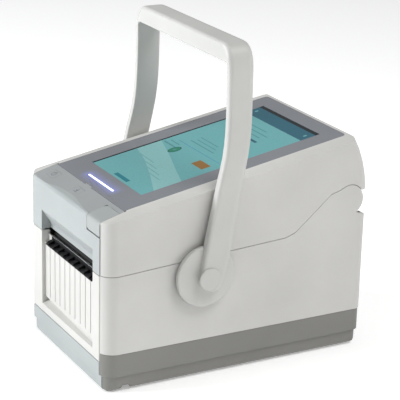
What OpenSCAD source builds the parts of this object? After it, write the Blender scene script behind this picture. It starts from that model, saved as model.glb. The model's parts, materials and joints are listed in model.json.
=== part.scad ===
// Portable label printer with a tilted touch display and a carry handle.
// Frame: +X to the right of the label exit, +Y to the rear, +Z up.
// Origin: centre of the footprint on the surface that the feet rest on.
// Depths named "s" are measured rearward from the front panel, see fy().

/* [Body] */
// Width of the casing over the side walls
body_w = 140; // [136:1:150]
// Depth of the casing from front panel to rear wall
body_d = 224; // [224:1:224]
// Wall thickness of the moulded casings
wall = 3; // [2.4:0.2:3.4]
// Height of the grey base on the sides
base_h = 31; // [30:0.5:32]
// Height of the inset lower part of the base
tray_h = 13; // [12:0.5:14]
// Radius of the upright casing corners
corner_r = 12; // [10:1:13]
// Radius of the upright corners at the rear
rear_r = 6; // [5:0.5:7]
// Width of the flat front panels
front_w = 122; // [120:1:124]
// Gap between cover and lower casing
seam = 0.5; // [0.4:0.1:0.8]

/* [Cover] */
// Height of the display plane above the front panel
top_z = 134.3; // [134:0.1:135]
// Slope of the display plane, rising to the rear
top_tilt = 10.4; // [10.2:0.1:10.6]
// Width of the glass bezel
bezel_w = 119; // [118:0.5:119.5]
// Length of the glass bezel along the slope
bezel_l = 190; // [188:1:190]
// Width of the lit display area
screen_w = 86; // [84:0.5:88]
// Length of the lit display area
screen_l = 154.5; // [150:0.5:156]
// Width of the sloped band beside the display
band_w = 7; // [6:0.5:8]
// Drop of the sloped band
band_drop = 2.2; // [1.8:0.2:2.6]

/* [Hinge and handle] */
// Depth of the cover hinge axis
hinge_s = 207; // [206.5:0.5:207.5]
// Height of the cover hinge axis
hinge_z = 123; // [122.5:0.5:123.5]
// Radius of the hinge ears
ear_r = 12; // [11.5:0.5:12]
// Depth of the handle pivot
pivot_s = 80; // [79:0.5:81]
// Height of the handle pivot
pivot_z = 83.5; // [83:0.5:84]
// Radius of the handle hubs
hub_r = 23.8; // [23:0.2:24]
// Height of the top of the handle
handle_top = 256; // [255:1:258]
// Thickness of each handle arm at its hub
arm_t = 7.5; // [7:0.5:8]

/* [Print mechanism] */
// Radius of the platen roller
platen_r = 8; // [7.5:0.5:8]
// Length of the platen roller
platen_l = 84; // [80:1:86]
// Module of the drive gears
gear_m = 1; // [1:0.1:1]
// Radius of a full label roll
roll_r = 48; // [40:1:48]
// Width of the label roll
roll_w = 76; // [60:1:76]
// Travel of each roll guide away from the roll
guide_travel = 18; // [10:1:18]

/* [Hidden] */
$fn = 48;

white = [0.88, 0.87, 0.85];
front_grey = [0.8, 0.84, 0.83];
base_grey = [0.52, 0.52, 0.5];
bezel_grey = [0.5, 0.52, 0.55];
dark = [0.12, 0.12, 0.13];
steel = [0.7, 0.7, 0.72];

eps = 0.01;
half_w = body_w / 2;
half_f = front_w / 2;
front_y = -body_d / 2;
front_set = 0.3;
rib_count = 10;
rear_s = body_d - 0.6;
back_r = 92;
back_z = 125;
exit_x0 = -44;
exit_x1 = 50;
rib_pitch = (exit_x1 - exit_x0) / rib_count;
lip_x0 = -37.5;
lip_x1 = 46.5;
button_x0 = 39.6;
button_x1 = 60.8;
power_x = -45.5;
feed_x = -2.6;
strip_tilt = atan(4.8 / 17.2);
platen_s = 16;
platen_z = 83;
slot_z = 92;
plate_x = 48.5;
plate_t = 1.5;
gear_x = 56.5;
gear_t = 4.5;
platen_teeth = 20;
idler_teeth = 30;
motor_teeth = 12;
idler_a = -37;
motor_a = -22;
latch_s = 30.5;
latch_z = 112;
latch_x = 53.5;
board_s = 203.5;
roll_s = 132;
roll_z = 88;
head_s = 33;
head_z = 98;
head_pin_r = 1.5;
core_r = 14.5;
core_bore = 12.7;
guide_x = roll_w / 2 + 1.5;
pin_r = 4;
arm_x = 74.5;
hinge_pin_r = 3;

// Y of a point s behind the front panel
function fy(s) = front_y + s;

// Points of an arc in the plane, from angle a0 to a1
function arc(cx, cy, r, a0, a1, n = 8) =
    [for (i = [0:n]) let (a = a0 + (a1 - a0) * i / n) [cx + r * cos(a), cy + r * sin(a)]];

// Rounded rectangle from s0 to s1 with front and rear corner radii
function plan_points(hw, s0, s1, rf, rr) = concat(
    arc(-hw + rf, fy(s0) + rf, rf, 180, 270),
    arc(hw - rf, fy(s0) + rf, rf, 270, 360),
    arc(hw - rr, fy(s1) - rr, rr, 0, 90),
    arc(-hw + rr, fy(s1) - rr, rr, 90, 180));

// Height of the display plane at depth s
function plane_z(s) = top_z + tan(top_tilt) * s;

// Seam between cover and lower casing, shifted up by dz
function seam_points(dz) = [
    [12, slot_z + dz], [151, 100.6 + dz], [159, 103.5 + dz],
    [184, 124.5 + dz], [190, 129.6 + dz], [197.5, 131.8 + dz]];

module plan(hw, s0, s1, rf, rr, z0, z1) {
    translate([0, 0, z0])
        linear_extrude(z1 - z0)
            polygon(plan_points(hw, s0, s1, rf, rr));
}

// Side profile given as [s, z] points, extruded from x0 to x1
module profile(points, x0, x1) {
    translate([x0, front_y, 0])
        rotate([90, 0, 90])
            linear_extrude(x1 - x0)
                polygon(points);
}

// Cylinder along X between x0 and x1 at depth s and height z
module rod(s, z, r, x0, x1) {
    translate([x0, fy(s), z])
        rotate([0, 90, 0])
            cylinder(r = r, h = x1 - x0);
}

// Box between two corners given as x, s, z
module block(x0, x1, s0, s1, z0, z1) {
    translate([x0, fy(s0), z0])
        cube([x1 - x0, s1 - s0, z1 - z0]);
}

// Moves children into the display plane: y along the slope, z outward
module on_top() {
    translate([0, front_y, top_z])
        rotate([top_tilt, 0, 0])
            children();
}

// Box in the display plane
module slab(x0, x1, t0, t1, z0, z1) {
    on_top()
        translate([x0, t0, z0])
            cube([x1 - x0, t1 - t0, z1 - z0]);
}

// Rounded plate in the display plane
module round_slab(hw, t0, t1, r, z0, z1, rf = 1) {
    on_top()
        translate([0, 0, z0])
            linear_extrude(z1 - z0)
                polygon(concat(
                    arc(-hw + rf, t0 + rf, rf, 180, 270),
                    arc(hw - rf, t0 + rf, rf, 270, 360),
                    arc(hw - r, t1 - r, r, 0, 90),
                    arc(-hw + r, t1 - r, r, 90, 180)));
}

// Spur gear outline with relieved teeth, first tooth turned by phase
function tooth(teeth, i, phase) =
    let (r = gear_m * teeth / 2, a = 360 / teeth, c = phase + i * a)
    [for (k = [[-0.36, -1.1], [-0.15, 0.62], [0.15, 0.62], [0.36, -1.1]])
        (r + k[1] * gear_m) * [cos(c + k[0] * a), sin(c + k[0] * a)]];

module gear(s, z, teeth, phase, x0, x1, bore) {
    translate([x0, fy(s), z])
        rotate([90, 0, 90])
            difference() {
                linear_extrude(x1 - x0)
                    polygon([for (i = [0:teeth - 1]) each tooth(teeth, i, phase)]);
                translate([0, 0, -1])
                    cylinder(r = bore, h = x1 - x0 + 2);
            }
}

// Angle a folded into one turn of size m
function wrap(a, m) = a - m * floor(a / m);

// Axis places of the drive train
idler_d = gear_m * (platen_teeth + idler_teeth) / 2 + 0.2;
motor_d = gear_m * (motor_teeth + idler_teeth) / 2 + 0.2;
idler_s = platen_s + idler_d * cos(idler_a);
idler_z = platen_z + idler_d * sin(idler_a);
motor_s = idler_s + motor_d * cos(motor_a);
motor_z = idler_z + motor_d * sin(motor_a);

// ---- Base ----

module base_tray() {
    inset = 1.8;
    hw = half_w - inset;
    color(base_grey)
        difference() {
            intersection() {
                plan(hw, front_set + inset, rear_s - inset, corner_r - inset, rear_r,
                    1, tray_h - 0.1);
                profile(round_bottom(front_set + inset, rear_s - inset, 4.5, 9), -half_w, half_w);
                translate([0, half_w * 3, 0])
                    rotate([90, 0, 0])
                        linear_extrude(half_w * 6)
                            polygon(round_bottom(-hw, hw, 4.5, 4.5));
            }
            plan(60, 20, 200, 4, 4, 5, tray_h + 1);
            for (m = [-1, 1])
                finger_notch(m);
            block(-half_f - 0.2, half_f + 0.2, -1, 5.2, -1, tray_h + 1);
            foot_holes(7.2, -1, 2);
        }
}

// Outline from u0 to u1 with lower corners rounded by r0 and r1
function round_bottom(u0, u1, r0, r1) =
    concat(arc(u0 + r0, 1 + r0, r0, 180, 270, 6), arc(u1 - r1, 1 + r1, r1, 270, 360, 8),
        [[u1, tray_h + 1], [u0, tray_h + 1]]);

module finger_notch(m) {
    notch = [[14, 0], [16, 4.2], [22.5, 4.2], [24.5, 0]];
    profile(notch, m * 67.2 - 3, m * 67.2 + 3);
}

module foot_holes(r, z0, z1) {
    for (x = [-50, 50], s = [24, 196])
        translate([x, fy(s), z0])
            cylinder(r = r, h = z1 - z0);
}

module base_frame() {
    color(base_grey)
        difference() {
            union() {
                plan(half_w, front_set, rear_s - 0.7, corner_r, rear_r, tray_h, base_h);
                block(-9, 9, rear_s - 1, body_d, tray_h + 2, tray_h + 8);
            }
            plan(62, 16, 206, 4, 4, tray_h - 1, base_h - 3);
            block(-half_f - 0.2, half_f + 0.2, -1, 5.2, tray_h - 1, 25);
            block(-half_f - 0.2, half_f + 0.2, -1, 3.7, 24.9, base_h + 1);
        }
}

module base_front_panel() {
    color(front_grey)
        difference() {
            profile([[0, tray_h + 0.1], [0, 24], [5, 24], [5, 1], [4.2, 1.1], [2.9, 2],
                [2.2, 3.5], [2, 5.5], [2, tray_h + 0.1]], -half_f, half_f);
            for (x = [-45, 45])
                block(x - 4, x + 4, 3.2, 6, 6, 18);
        }
}

module rubber_feet() {
    color(dark)
        foot_holes(7, 0, 2);
}

module battery_pack() {
    color(dark)
        difference() {
            plan(56, 26, 176, 4, 4, 5.1, 27);
            block(-50, 50, 60, 140, 26.4, 28);
        }
}

module battery_contacts() {
    color("goldenrod")
        for (x = [-12, -4, 4, 12])
            block(x - 1.2, x + 1.2, 176.1, 180, 12, 24);
}

// ---- Lower casing ----

// Side profile of the lower casing, grown by d
function lower_side() = concat(
    [[front_set, base_h + 0.1], [rear_s, base_h + 0.1], [rear_s, 106.5],
    [rear_s - 1.5, 109.5], [213.5, 111.8]],
    arc(hinge_s, hinge_z, ear_r, -58, 118, 14),
    [for (i = [5:-1:0]) seam_points(0)[i]],
    [[front_set, slot_z - 0.4]]);

module lower_casing() {
    color(white)
        difference() {
            intersection() {
                plan(half_w, front_set, rear_s, corner_r, rear_r, base_h, 140);
                profile(lower_side(), -half_w - 1, half_w + 1);
            }
            difference() {
                plan(half_w - wall, front_set + wall, rear_s - wall, corner_r - wall,
                    rear_r - wall, base_h + wall, 145);
                rod(hinge_s, hinge_z, ear_r, half_f + 0.5, half_w);
                rod(hinge_s, hinge_z, ear_r, -half_w, -half_f - 0.5);
            }
            block(-half_f - 0.5, half_f + 0.5, hinge_s - 20, body_d + 1, 108, 145);
            block(-half_f - 0.2, half_f + 0.2, -1, 7.4, base_h - 1, 100);
            rod(hinge_s, hinge_z, hinge_pin_r, -half_w + 2, half_w - 2);
            rod(pivot_s, pivot_z, 9.5, -half_w - 1, half_w + 1);
            block(-52, 28, rear_s - 5, rear_s + 1, 38, 62);
        }
}

// Socket panel set into the rear wall, with a flange behind the wall
module rear_panel() {
    color(base_grey)
        difference() {
            union() {
                block(-51.7, 27.7, rear_s - wall - 0.2, rear_s - 0.8, 38.3, 61.7);
                block(-54, 30, rear_s - wall - 1.6, rear_s - wall - 0.1, 36, 64);
            }
            block(-48, -34, 210, 225, 44, 56);
            block(-22, -8, 210, 225, 44, 56);
            block(6, 24, 210, 225, 42, 58);
        }
}

module lower_front_panel() {
    color(white)
        difference() {
            union() {
                block(-half_f, half_f, 0, 2.6, 24.4, slot_z - 0.5);
                block(exit_x0 - 4, exit_x1 + 4, 2.5, 7.2, 31.5, 82);
                block(exit_x0 - 4, exit_x0, 2.5, 6.9, 81.9, slot_z - 0.5);
                block(exit_x1, exit_x1 + 4, 2.5, 6.9, 81.9, slot_z - 0.5);
                block(exit_x0 - 1, lip_x0 - 0.3, 5.6, 6.9, 81.9, 88.2);
            }
            profile([[-1, 30.5], [5.6, 33.4], [2.8, 37], [2.8, slot_z + 1], [-1, slot_z + 1]],
                exit_x0, exit_x1);
            for (i = [1:rib_count - 1])
                block(exit_x0 + i * rib_pitch - 0.5, exit_x0 + i * rib_pitch + 0.5, 2, 3.8,
                    38.5, 83);
        }
}

// Ribbed tongue below the exit, with the wall that carries the tear bar
module exit_lip() {
    color(dark)
        union() {
            profile([[0.2, 82.9], [0.6, 82.1], [7.6, 82.1], [7.6, 84], [3.6, 83.9], [0.8, 83.4]],
                lip_x0, lip_x1);
            profile([[5.6, 83], [6.9, 83], [6.9, 88.3], [6, 88.3]], lip_x0, exit_x1 - 0.1);
            for (i = [1:rib_count - 1])
                profile([[0.1, 82.8], [1, 82.4], [5.8, 83], [5.8, 86], [3.4, 85.4], [0.8, 84.2]],
                    exit_x0 + i * rib_pitch - 2, exit_x0 + i * rib_pitch + 2);
        }
}

module tear_bar() {
    pitch = 2;
    count = 44;
    color(steel)
        difference() {
            profile([[5.2, 89], [5.4, 88.4], [7.2, 88.4], [7.2, 89.2], [5.6, 89.2]],
                exit_x0 + 0.1, exit_x1 - 0.1);
            for (i = [0:count - 1])
                profile([[5, 90], [5.7, 88], [5.7, 90]], exit_x0 + 3 + i * pitch,
                    exit_x0 + 3.8 + i * pitch);
        }
}

// ---- Print mechanism in the lower casing ----

module mech_chassis() {
    color(steel)
        difference() {
            union() {
                for (m = [0, 1])
                    mirror([m, 0, 0])
                        profile([[8, 34.1], [66, 34.1], [66, 60], [40, 88], [26, 90.8],
                            [8, 89]], plate_x - plate_t, plate_x);
                block(-plate_x, plate_x, 9, 66, 34.1, 35.6);
            }
            rod(platen_s, platen_z, 5, -plate_x - 1, plate_x + 1);
            rod(idler_s, idler_z, 2, -plate_x - 1, -plate_x + 3);
            rod(motor_s, motor_z, 6, -plate_x - 1, -plate_x + 3);
            rod(latch_s, 87, 2, -plate_x - 1, plate_x + 1);
        }
}

module platen_bushes() {
    color("goldenrod")
        for (m = [0, 1])
            mirror([m, 0, 0])
                difference() {
                    union() {
                        rod(platen_s, platen_z, 5, plate_x - plate_t, plate_x);
                        rod(platen_s, platen_z, 6, plate_x, plate_x + 1.4);
                    }
                    rod(platen_s, platen_z, 3.05, plate_x - 4, plate_x + 4);
                }
}

module platen_shaft() {
    color(steel)
        rod(platen_s, platen_z, 3, -gear_x - gear_t - 0.4, plate_x + 3);
}

module platen_roller() {
    color(dark)
        difference() {
            rod(platen_s, platen_z, platen_r, -platen_l / 2, platen_l / 2);
            rod(platen_s, platen_z, 3, -platen_l, platen_l);
        }
}

module platen_gear() {
    color(white)
        gear(platen_s, platen_z, platen_teeth, idler_a, -gear_x - gear_t, -gear_x, 3);
}

module idler_gear() {
    color(white)
        gear(idler_s, idler_z, idler_teeth, idler_a + 180 + 180 / idler_teeth,
            -gear_x - gear_t, -gear_x, 2.05);
}

module motor_pinion() {
    lead = wrap(idler_a + 180 + 180 / idler_teeth - motor_a, 360 / idler_teeth);
    phase = motor_a + 180 - lead * idler_teeth / motor_teeth + 180 / motor_teeth;
    color("goldenrod")
        gear(motor_s, motor_z, motor_teeth, phase, -gear_x - gear_t, -gear_x, 1.55);
}

module idler_axle() {
    color(steel)
        rod(idler_s, idler_z, 2, -gear_x - gear_t - 1, -plate_x + plate_t);
}

module stepper_motor() {
    side = 17.5;
    color(dark)
        union() {
            difference() {
                block(-plate_x + plate_t + 0.1, -20, motor_s - side, motor_s + side,
                    motor_z - side, motor_z + side);
                for (ds = [-side, side], dz = [-side, side])
                    translate([-50, fy(motor_s + ds), motor_z + dz])
                        rotate([45, 0, 0])
                            cube([80, 5, 5], center = true);
            }
            rod(motor_s, motor_z, 5.9, -plate_x, -plate_x + plate_t + 0.2);
            rod(motor_s, motor_z, 1.5, -gear_x - gear_t - 0.4, -plate_x + 1);
        }
}

module media_plate() {
    color(white)
        profile([[25.5, 82], [25.5, 86.6], [62, 93], [72, 90], [72, 88.6], [62, 91.4], [27.5, 85],
            [27.5, 82]], -44, 44);
}

module gap_sensor() {
    color(dark)
        difference() {
            block(-8, 8, 28, 42, 72, 84);
            block(-2, 2, 33, 37, 82, 85);
        }
}

module latch_pins() {
    color(steel)
        for (m = [0, 1])
            mirror([m, 0, 0])
                rod(latch_s, 87, 2, plate_x - plate_t, latch_x + 2.5);
}

// ---- Roll compartment ----

module bin_floor() {
    color(white)
        difference() {
            union() {
                block(-60, 60, 72, 196, base_h + wall + 0.1, 36);
                translate([0, fy(roll_s), 35.9])
                    cylinder(r = 2.5, h = 3.6);
            }
            block(-30, 30, 90, 112, 30, 40);
        }
}

rack_s = 8;

// One roll guide; side is 1 on the right and -1 on the left
module roll_guide(side) {
    teeth = 14;
    mirror([side < 0 ? 1 : 0, 0, 0]) {
        difference() {
            union() {
                profile([[roll_s - 34, 36.3], [roll_s + 34, 36.3], [roll_s + 34, 60],
                    [roll_s + 20, 112], [roll_s - 20, 112], [roll_s - 34, 60]],
                    guide_x, guide_x + 3);
                rod(roll_s, roll_z, core_bore - 0.5, guide_x - 7, guide_x + 1);
                block(guide_x - 52, guide_x + 1, roll_s + rack_s + 1.4, roll_s + rack_s + 6,
                    36.3, 39.2);
            }
            rod(roll_s, roll_z, 6, guide_x - 9, guide_x + 4);
            block(guide_x - 1, guide_x + 4, roll_s - rack_s - 7.5, roll_s + 0.5, 36, 39.8);
        }
        for (i = [0:teeth - 1])
            translate([guide_x - 50 + i * PI, fy(roll_s + rack_s), 36.3])
                linear_extrude(2.9)
                    polygon([[-0.9, 1.5], [0.9, 1.5], [0.45, -0.6], [-0.45, -0.6]]);
    }
}

module guide_right() {
    color(white)
        roll_guide(1);
}

module guide_left() {
    color(white)
        translate([0, 2 * fy(roll_s), 0])
            mirror([0, 1, 0])
                roll_guide(-1);
}

module guide_pinion() {
    teeth = 16;
    rack_turn = (guide_x - 50) / rack_s * 180 / PI;
    phase = 90 - rack_turn + 180 / teeth;
    color("goldenrod")
        translate([0, fy(roll_s), 36.3])
            difference() {
                linear_extrude(2.9)
                    polygon([for (i = [0:teeth - 1]) each tooth(teeth, i, phase)]);
                translate([0, 0, -1])
                    cylinder(r = 2.55, h = 6);
            }
}

module label_roll() {
    color("ivory")
        difference() {
            rod(roll_s, roll_z, roll_r, -roll_w / 2, roll_w / 2);
            rod(roll_s, roll_z, core_r, -roll_w, roll_w);
        }
}

module roll_core() {
    color("tan")
        difference() {
            rod(roll_s, roll_z, core_r, -roll_w / 2, roll_w / 2);
            rod(roll_s, roll_z, core_bore, -roll_w, roll_w);
        }
}

// ---- Electronics at the rear ----

module main_board() {
    color("darkgreen")
        union() {
            block(-58, 58, board_s, board_s + 1.6, 38, 104);
            block(-30, -10, board_s - 3, board_s + 0.1, 66, 86);
            block(10, 34, board_s - 5, board_s + 0.1, 70, 92);
            for (x = [-50, -40])
                rod_y(x, 90, 4, board_s - 11, board_s + 0.1);
        }
}

module rod_y(x, z, r, s0, s1) {
    translate([x, fy(s0), z])
        rotate([-90, 0, 0])
            cylinder(r = r, h = s1 - s0);
}

module dc_jack() {
    color(dark)
        difference() {
            block(-47.5, -34.5, board_s + 1.7, rear_s - 1, 44.5, 55.5);
            difference() {
                rod_y(-41, 50, 3.5, 212, 225);
                rod_y(-41, 50, 1, 211, 220);
            }
        }
}

module usb_port() {
    color(steel)
        difference() {
            block(-21.5, -8.5, board_s + 1.7, rear_s - 1, 44.5, 55.5);
            block(-19.5, -10.5, 210, 225, 46.5, 53.5);
        }
}

module lan_port() {
    color(steel)
        difference() {
            block(6.5, 23.5, board_s + 1.7, rear_s - 1, 42.5, 57.5);
            block(8.5, 21.5, 210, 225, 44.5, 55.5);
        }
}

// ---- Pins and screws of the casing ----

module hinge_pins() {
    color(steel)
        for (m = [0, 1])
            mirror([m, 0, 0])
                rod(hinge_s, hinge_z, hinge_pin_r, half_f - 14, half_w - 2);
}

module pivot_bosses() {
    color(white)
        for (m = [0, 1])
            mirror([m, 0, 0])
                difference() {
                    union() {
                        rod(pivot_s, pivot_z, 14, half_w, half_w + 2);
                        rod(pivot_s, pivot_z, 9.5, half_w - wall, half_w + 1);
                    }
                    rod(pivot_s, pivot_z, pin_r, half_w - 6, half_w + 6);
                }
}

module pivot_pins() {
    color(steel)
        for (m = [0, 1])
            mirror([m, 0, 0])
                union() {
                    rod(pivot_s, pivot_z, pin_r, half_w - wall - 2, arm_x + 4.6);
                    rod(pivot_s, pivot_z, 8, half_w - wall - 4, half_w - wall - 0.1);
                }
}

module casing_screws() {
    color(steel)
        for (x = [-64.5, 64.5], s = [70, 150])
            translate([x, fy(s), base_h - 2])
                union() {
                    cylinder(r = 1.4, h = 4.9);
                    translate([0, 0, 5])
                        cylinder(r = 2.2, h = 1.4);
                }
}

// ---- Cover ----

function cover_side() = concat(
    [[front_set, slot_z + seam - 0.4]],
    seam_points(seam),
    arc(hinge_s, hinge_z, ear_r + seam, 118, 34, 10),
    [[rear_s + 1, 130], [rear_s + 1, 160], [209.5, plane_z(209.5)],
    [20, plane_z(20)], [2.6, 133.1], [front_set, 131.8]]);

function cover_inside() = [
    [front_set + wall, 80], [190, 80], [190, 138], [rear_s, 138], [rear_s, 165],
    [206, plane_z(206) - 4], [24, plane_z(24) - 4], [20, 136.5], [6, 131.5]];

// Levels [s, z] of the cover's rear face, which follows an arc, moved in by inset
function back_levels(inset) = concat(
    [[rear_s - inset, 70]],
    [for (a = [0:6:30]) [rear_s - back_r + (back_r - inset) * cos(a),
        back_z + (back_r - inset) * sin(a)]],
    [[198 - inset, 190]]);

// Block with the cover's outline in plan and its curved rear face
module cover_block(inset) {
    levels = back_levels(inset);
    rings = [for (l = levels) [for (p = plan_points(half_w - inset, front_set + inset, l[0],
        corner_r - inset, rear_r - inset)) [p[0], p[1], l[1]]]];
    n = len(rings[0]);
    last = len(levels) - 1;
    polyhedron([for (r = rings) each r], concat(
        [[for (j = [0:n - 1]) j], [for (j = [n - 1:-1:0]) last * n + j]],
        [for (i = [0:last - 1], j = [0:n - 1]) let (k = (j + 1) % n)
            [i * n + j, i * n + n + j, i * n + n + k, i * n + k]]));
}

module cover_shell() {
    color(white)
        difference() {
            intersection() {
                cover_block(0);
                profile(cover_side(), -half_w - 1, half_w + 1);
            }
            intersection() {
                cover_block(wall);
                profile(cover_inside(), -half_w, half_w);
            }
            for (m = [0, 1])
                mirror([m, 0, 0])
                    edge_band();
            round_slab(bezel_w / 2 + 0.2, 20.4, 20.8 + bezel_l, 4, -10, 5);
            block(-half_f - 0.2, half_f + 0.2, -1, 6.4, 80, 129.8);
            profile([[-1, 129.7], [7, 129.7], [22, 136], [20.7, 150], [-1, 150]],
                -half_f - 0.2, half_f + 0.2);
        }
}

// Wedge that slopes the top edge beside the display
module edge_band() {
    on_top()
        translate([0, -20, 0])
            rotate([-90, 180, 0])
                linear_extrude(260)
                    polygon([[-half_w + band_w, 0], [-half_w - 1, -band_drop - 0.3],
                        [-half_w - 1, 20], [-half_w + band_w, 20]]);
}

// Barrel of the cover between the ears of the lower casing
module hinge_barrel() {
    color(white)
        difference() {
            rod(hinge_s, hinge_z, ear_r + seam - 0.05, -half_f + 0.5, half_f - 0.5);
            rod(hinge_s, hinge_z, hinge_pin_r + 0.05, -half_f, -half_f + 15);
            rod(hinge_s, hinge_z, hinge_pin_r + 0.05, half_f - 15, half_f);
            rod(hinge_s, hinge_z, 7, -half_f + 18, half_f - 18);
        }
}

module cover_front_panel() {
    scoop_z = 108.8;
    color(front_grey)
        difference() {
            union() {
                block(-half_f, half_f, 0, 2.6, slot_z + 0.2, 130.4);
                profile([[0, 130.3], [0.3, 131.6], [0.9, 132.4], [1.8, 132.8], [2.2, 132.7],
                    [2.2, 130.3]], -half_f, half_f);
                block(exit_x0 - 2, exit_x1 + 2, 2.5, 9.6, slot_z + 0.9, scoop_z + 3);
            }
            profile([[-1, scoop_z + 1.4], [0, scoop_z], [2.3, 105.2], [4.4, 102], [6.2, 99],
                [7.4, 96.2], [8, slot_z - 2], [-1, slot_z - 2]], exit_x0, exit_x1);
            block(button_x0 - 0.3, half_f + 1, -1, 4, 120.5, 134);
        }
}

module control_strip() {
    color(bezel_grey)
        difference() {
            union() {
                profile([[2.3, 130.6], [2.3, 132.9], [2.8, 133.1], [20, 137.9], [20.4, 135.4],
                    [7, 130.6]], -half_f, half_f);
                slab(-7.9, 2.7, 19.6, 21.9, -2.2, -0.1);
            }
            profile([[-1, 128], [-1, 140], [16.4, 140], [16.4, 128]], button_x0 - 0.3, half_f + 1);
            for (x = [power_x, feed_x])
                on_strip(x)
                    translate([-6.2, -4.2, -5])
                        cube([12.4, 8.4, 10]);
        }
}

// Moves children onto the sloped strip, centred at x
module on_strip(x) {
    translate([x, fy(11.3), 135.46])
        rotate([strip_tilt, 0, 0])
            children();
}

module key_cap(x) {
    on_strip(x) {
        translate([-6.1, -4.1, -3.1])
            cube([12.2, 8.2, 3.2]);
        translate([-3, -2, -5])
            cube([6, 4, 2]);
    }
}

module power_key() {
    color(bezel_grey)
        key_cap(power_x);
}

module feed_key() {
    color(bezel_grey)
        key_cap(feed_x);
}

module open_button() {
    color(front_grey)
        profile([[0, 121.6], [0, 130.6], [0.4, 132], [1.4, 132.9], [2.8, 133.3], [16.1, 137],
            [16.1, 134.6], [4.2, 131], [2.6, 129.4], [2.6, 121.6]], button_x0, button_x1);
}

module bezel_frame() {
    color(bezel_grey)
        difference() {
            round_slab(bezel_w / 2, 20.6, 20.6 + bezel_l, 3.8, -2.2, 0);
            slab(-screen_w / 2, screen_w / 2, 42.7, 42.7 + screen_l, -3, 1);
            slab(-23.5, 21.5, 29.2, 31.8, -3, 1);
            slab(-8.2, 3, 19, 22.2, -3, 1);
        }
}

module display_panel() {
    color([0.5, 0.72, 0.72])
        union() {
            slab(-screen_w / 2, screen_w / 2, 42.7, 42.7 + screen_l, -2.3, -0.2);
            slab(-screen_w / 2 - 5, screen_w / 2 + 5, 38, 202, -6.5, -2.3);
        }
}

module light_bar() {
    color("white")
        slab(-23.5, 21.5, 29.2, 31.8, -2.4, -0.1);
}

module display_board() {
    color("darkgreen")
        union() {
            slab(-50, 50, 44, 196, -9.6, -8);
            slab(-24, -4, 80, 100, -11.6, -9.5);
            slab(10, 34, 120, 134, -12, -9.5);
            for (x = [-44, 44], t = [50, 190])
                slab(x - 2, x + 2, t - 2, t + 2, -8.1, -6.6);
        }
}

// ---- Print head and latch in the cover ----

module head_holder() {
    color(white)
        difference() {
            union() {
                block(-half_w + wall, half_w - wall, 36, 39, 104, 131);
                block(-48.5, 48.5, 12, 37, 121.5, 124);
                for (m = [-1, 1])
                    block(m * 47 - 1.5, m * 47 + 1.5, 24, 37, 94.6, 122);
            }
            rod(latch_s, latch_z, 2.6, -50, 50);
            rod(head_s, head_z, head_pin_r + 0.05, -50, 50);
        }
}

module head_springs() {
    color(steel)
        for (x = [-26, 26])
            translate([x, fy(19), 100.4])
                difference() {
                    cylinder(r = 3.5, h = 21);
                    translate([0, 0, -1])
                        cylinder(r = 2.7, h = 30);
                }
}

module print_head() {
    color(steel)
        difference() {
            union() {
                block(-42, 42, 10.6, 34.5, 96, 100);
                profile([[11, 96], [25, 96], [25, 92.2], [14, 91.6], [11, 92.4]], -41, 41);
                rod(head_s, head_z, head_pin_r, -48.2, 48.2);
            }
            block(-30, 30, 25.5, 30, 95, 101);
        }
}

module latch_bar() {
    color(steel)
        union() {
            rod(latch_s, latch_z, 2.5, -latch_x - 1.5, latch_x + 1.5);
            for (m = [0, 1])
                mirror([m, 0, 0])
                    profile([[26.5, 115], [34.5, 115], [34.5, 110], [27.7, 106], [27.7, 84.6],
                        [31.7, 84.6], [31.7, 82.6], [24.9, 81], [24.1, 84], [24.1, 106]],
                        latch_x - 1.5, latch_x + 1.5);
        }
}

// ---- Handle ----

// Front and rear edge of the handle arms as [s, z] points
function arm_front() = [[74.4, 86], [75.6, 97], [78, 110], [82.6, 132], [88, 157], [91.4, 171],
    [93.2, 184], [94, 198], [94.2, 212], [94.2, handle_top + 1]];
function arm_rear() = [[114, handle_top + 1], [114, 212], [113.6, 194], [112, 178],
    [109, 162], [106, 148], [102, 128], [99, 110], [96, 94], [91.6, 80]];

module handle_frame() {
    tip_r = 10;
    outer = arm_x + arm_t;
    color(white)
        difference() {
            union() {
                intersection() {
                    profile(concat(arm_front(), arm_rear(),
                        arc(pivot_s + 3, pivot_z - 0.5, tip_r, -20, -180, 8)), -90, 90);
                    handle_front_view(outer);
                }
                for (m = [0, 1])
                    mirror([m, 0, 0])
                        rod(pivot_s, pivot_z, hub_r, half_w + 2.4, arm_x + 1.7);
            }
            rod(pivot_s, pivot_z, pin_r + 0.05, -outer + 2.4, -half_w);
            rod(pivot_s, pivot_z, pin_r + 0.05, half_w, outer - 2.4);
        }
}

// U outline seen from the front, drawn in at the top by top_in, with rounded shoulders
module handle_front_view(outer) {
    shoulder = 14;
    inner_r = 7;
    grip_z = handle_top - 13.8;
    top_x = outer - 5;
    top_in = arm_x - 3;
    translate([0, 200, 0])
        rotate([90, 0, 0])
            linear_extrude(400)
                polygon(concat(
                    [[-outer, 60], [-arm_x, 60], [-arm_x, pivot_z]],
                    arc(-top_in + inner_r, grip_z - inner_r, inner_r, 180, 90),
                    arc(top_in - inner_r, grip_z - inner_r, inner_r, 90, 0),
                    [[arm_x, pivot_z], [arm_x, 60], [outer, 60], [outer, pivot_z]],
                    arc(top_x - shoulder, handle_top - shoulder, shoulder, 0, 90),
                    arc(-top_x + shoulder, handle_top - shoulder, shoulder, 90, 180),
                    [[-outer, pivot_z]]));
}

module hub_caps() {
    color(white)
        for (m = [0, 1])
            mirror([m, 0, 0])
                rod(pivot_s, pivot_z, 8.8, arm_x + arm_t, arm_x + arm_t + 0.8);
}

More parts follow.
